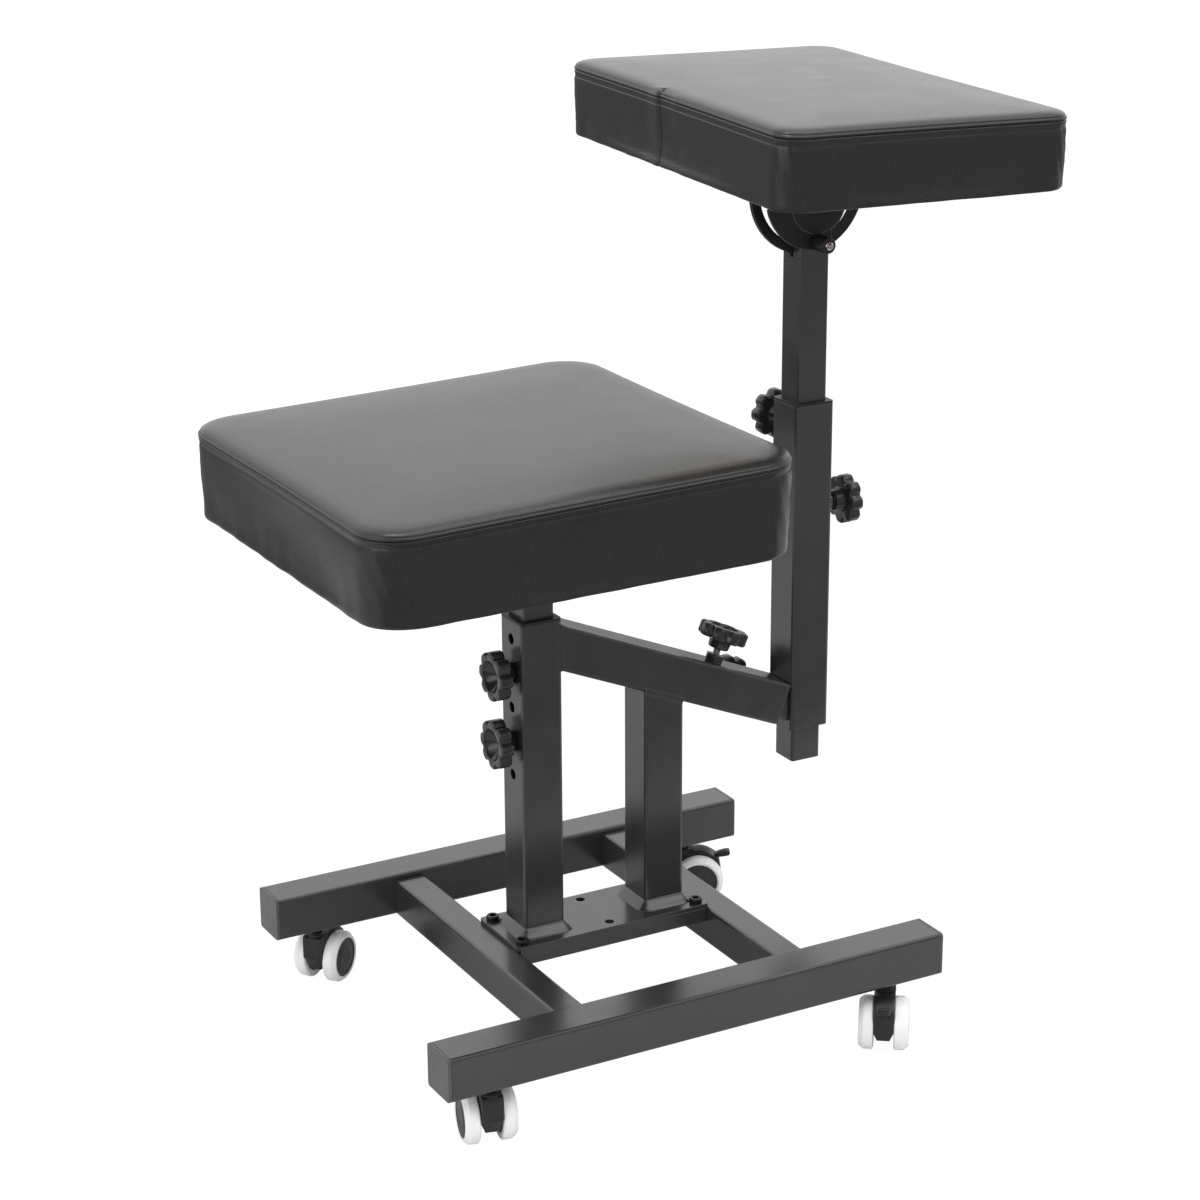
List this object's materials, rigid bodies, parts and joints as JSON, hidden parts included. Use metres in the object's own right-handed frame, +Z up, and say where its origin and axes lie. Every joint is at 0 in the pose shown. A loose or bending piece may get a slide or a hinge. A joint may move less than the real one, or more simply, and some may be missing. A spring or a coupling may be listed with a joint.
{
  "type": "rolling stool",
  "caption": "Rolling work stool with a square height-adjustable seat and a tilting front rest on telescoping square tubes, on a wheeled H base.",
  "frame": {"origin": "on the floor under the middle of the stool's box", "axes": "+Z up, +X the way the sitter faces, towards the rest, +Y across the stool to the side with the side knobs"},
  "size_m": [0.7014, 0.4722, 0.8825],
  "materials": {
    "frame_black": "satin",
    "plastic_black": "satin",
    "knob_black": "gloss",
    "leather_black": "satin",
    "plywood": "matte",
    "steel_bright": "gloss",
    "bolt_black": "satin",
    "tread_light": "satin"
  },
  "bodies": {
    "base": {"base_rail_near": "frame_black", "base_rail_far": "frame_black", "cross_member_rear": "frame_black", "cross_member_front": "frame_black", "carrier_channel": "frame_black", "rail_cap_near_rear": "plastic_black", "rail_cap_near_front": "plastic_black", "rail_cap_far_rear": "plastic_black", "rail_cap_far_front": "plastic_black", "caster_stem_near_rear": "steel_bright", "caster_stem_near_front": "steel_bright", "caster_stem_far_rear": "steel_bright", "caster_stem_far_front": "steel_bright", "post_plate": "frame_black", "plate_bolt_near_rear": "bolt_black", "plate_bolt_near_front": "bolt_black", "plate_bolt_far_rear": "bolt_black", "plate_bolt_far_front": "bolt_black", "seat_outer_tube": "frame_black", "seat_bush": "plastic_black", "support_post": "frame_black", "arm_outer_tube": "frame_black", "arm_bush": "plastic_black"},
    "seat": {"seat_inner_tube": "frame_black", "seat_plate": "frame_black", "seat_board": "plywood", "seat_cushion": "leather_black"},
    "rest_post": {"arm_inner_tube": "frame_black", "rest_outer_tube": "frame_black", "rest_bush": "plastic_black"},
    "rest_slide": {"rest_inner_tube": "frame_black", "tilt_cheek_near": "frame_black", "tilt_cheek_far": "frame_black", "tilt_pivot_bolt": "bolt_black", "tilt_lock_bolt": "steel_bright"},
    "rest": {"tilt_quadrant": "frame_black", "rest_plate": "frame_black", "rest_board": "plywood", "rest_cushion": "leather_black"},
    "seat_knob_upper": {"seat_knob_upper": "knob_black"},
    "seat_knob_lower": {"seat_knob_lower": "knob_black"},
    "arm_knob_top": {"arm_knob_top": "knob_black"},
    "arm_knob_side": {"arm_knob_side": "knob_black"},
    "rest_knob_front": {"rest_knob_front": "knob_black"},
    "rest_knob_side": {"rest_knob_side": "knob_black"},
    "tilt_clamp_nut": {"tilt_clamp_nut": "plastic_black"},
    "caster_near_rear": {"caster_body_near_rear": "plastic_black"},
    "caster_wheel_near_rear_right": {"caster_wheel_near_rear_right": "tread_light"},
    "caster_wheel_near_rear_left": {"caster_wheel_near_rear_left": "tread_light"},
    "caster_far_rear": {"caster_body_far_rear": "plastic_black"},
    "caster_wheel_far_rear_right": {"caster_wheel_far_rear_right": "tread_light"},
    "caster_wheel_far_rear_left": {"caster_wheel_far_rear_left": "tread_light"},
    "caster_near_front": {"caster_body_near_front": "plastic_black"},
    "caster_wheel_near_front_right": {"caster_wheel_near_front_right": "tread_light"},
    "caster_wheel_near_front_left": {"caster_wheel_near_front_left": "tread_light"},
    "brake_lever_near_front": {"brake_lever_near_front": "plastic_black"},
    "caster_far_front": {"caster_body_far_front": "plastic_black"},
    "caster_wheel_far_front_right": {"caster_wheel_far_front_right": "tread_light"},
    "caster_wheel_far_front_left": {"caster_wheel_far_front_left": "tread_light"},
    "brake_lever_far_front": {"brake_lever_far_front": "plastic_black"}
  },
  "joints": [
    {"name": "seat_height", "type": "slide", "parent": "base", "child": "seat", "axis": [0, 0, 1], "range_m": [-0.067, 0.1005]},
    {"name": "arm_reach", "type": "slide", "parent": "base", "child": "rest_post", "axis": [0.9225, 0, -0.3859], "range_m": [0, 0.115]},
    {"name": "rest_height", "type": "slide", "parent": "rest_post", "child": "rest_slide", "axis": [0, 0, 1], "range_m": [-0.11, 0.2]},
    {"name": "rest_tilt", "type": "hinge", "parent": "rest_slide", "child": "rest", "pos_m": [0.19082, 0, 0.7857], "axis": [0, 1, 0], "range_deg": [-35, 35]},
    {"name": "seat_knob_upper_turn", "type": "hinge", "parent": "base", "child": "seat_knob_upper", "pos_m": [-0.12318, 0, 0.36525], "axis": [-1, 0, 0], "range_deg": [-270, 0]},
    {"name": "seat_knob_lower_turn", "type": "hinge", "parent": "base", "child": "seat_knob_lower", "pos_m": [-0.12318, 0, 0.29825], "axis": [-1, 0, 0], "range_deg": [-270, 0]},
    {"name": "arm_knob_top_turn", "type": "hinge", "parent": "base", "child": "arm_knob_top", "pos_m": [0.09358, 0, 0.33803], "axis": [0.3859, 0, 0.9225], "range_deg": [-270, 0]},
    {"name": "arm_knob_side_turn", "type": "hinge", "parent": "base", "child": "arm_knob_side", "pos_m": [0.13944, 0.021, 0.29608], "axis": [0, 1, 0], "range_deg": [-270, 0]},
    {"name": "rest_knob_front_turn", "type": "hinge", "parent": "rest_post", "child": "rest_knob_front", "pos_m": [0.21182, 0, 0.47836], "axis": [1, 0, 0], "range_deg": [-270, 0]},
    {"name": "rest_knob_side_turn", "type": "hinge", "parent": "rest_post", "child": "rest_knob_side", "pos_m": [0.19082, 0.021, 0.55886], "axis": [0, 1, 0], "range_deg": [-270, 0]},
    {"name": "tilt_clamp_nut_turn", "type": "hinge", "parent": "rest_slide", "child": "tilt_clamp_nut", "pos_m": [0.19082, -0.0191, 0.7377], "axis": [0, -1, 0], "range_deg": [-270, 0]},
    {"name": "caster_near_rear_swivel", "type": "hinge", "parent": "base", "child": "caster_near_rear", "pos_m": [-0.24718, -0.1885, 0.0399], "axis": [0, 0, 1], "continuous": true},
    {"name": "caster_wheel_near_rear_right_spin", "type": "hinge", "parent": "caster_near_rear", "child": "caster_wheel_near_rear_right", "pos_m": [-0.24369, -0.1734, 0.0255], "axis": [-0.9744, 0.225, 0], "continuous": true},
    {"name": "caster_wheel_near_rear_left_spin", "type": "hinge", "parent": "caster_near_rear", "child": "caster_wheel_near_rear_left", "pos_m": [-0.24369, -0.1734, 0.0255], "axis": [-0.9744, 0.225, 0], "continuous": true},
    {"name": "caster_far_rear_swivel", "type": "hinge", "parent": "base", "child": "caster_far_rear", "pos_m": [-0.24718, 0.1885, 0.0399], "axis": [0, 0, 1], "continuous": true},
    {"name": "caster_wheel_far_rear_right_spin", "type": "hinge", "parent": "caster_far_rear", "child": "caster_wheel_far_rear_right", "pos_m": [-0.23496, 0.19804, 0.0255], "axis": [-0.6157, 0.788, 0], "continuous": true},
    {"name": "caster_wheel_far_rear_left_spin", "type": "hinge", "parent": "caster_far_rear", "child": "caster_wheel_far_rear_left", "pos_m": [-0.23496, 0.19804, 0.0255], "axis": [-0.6157, 0.788, 0], "continuous": true},
    {"name": "caster_near_front_swivel", "type": "hinge", "parent": "base", "child": "caster_near_front", "pos_m": [0.17282, -0.1885, 0.0399], "axis": [0, 0, 1], "continuous": true},
    {"name": "caster_wheel_near_front_right_spin", "type": "hinge", "parent": "caster_near_front", "child": "caster_wheel_near_front_right", "pos_m": [0.16371, -0.20104, 0.0255], "axis": [0.809, -0.5878, 0], "continuous": true},
    {"name": "caster_wheel_near_front_left_spin", "type": "hinge", "parent": "caster_near_front", "child": "caster_wheel_near_front_left", "pos_m": [0.16371, -0.20104, 0.0255], "axis": [0.809, -0.5878, 0], "continuous": true},
    {"name": "brake_lever_near_front_press", "type": "hinge", "parent": "caster_near_front", "child": "brake_lever_near_front", "pos_m": [0.15675, -0.21063, 0.04603], "axis": [0.809, -0.5878, 0], "range_deg": [0, 12]},
    {"name": "caster_far_front_swivel", "type": "hinge", "parent": "base", "child": "caster_far_front", "pos_m": [0.17282, 0.1885, 0.0399], "axis": [0, 0, 1], "continuous": true},
    {"name": "caster_wheel_far_front_right_spin", "type": "hinge", "parent": "caster_far_front", "child": "caster_wheel_far_front_right", "pos_m": [0.18638, 0.18099, 0.0255], "axis": [0.4848, 0.8746, 0], "continuous": true},
    {"name": "caster_wheel_far_front_left_spin", "type": "hinge", "parent": "caster_far_front", "child": "caster_wheel_far_front_left", "pos_m": [0.18638, 0.18099, 0.0255], "axis": [0.4848, 0.8746, 0], "continuous": true},
    {"name": "brake_lever_far_front_press", "type": "hinge", "parent": "caster_far_front", "child": "brake_lever_far_front", "pos_m": [0.19674, 0.17524, 0.04603], "axis": [0.4848, 0.8746, 0], "range_deg": [0, 12]}
  ]
}
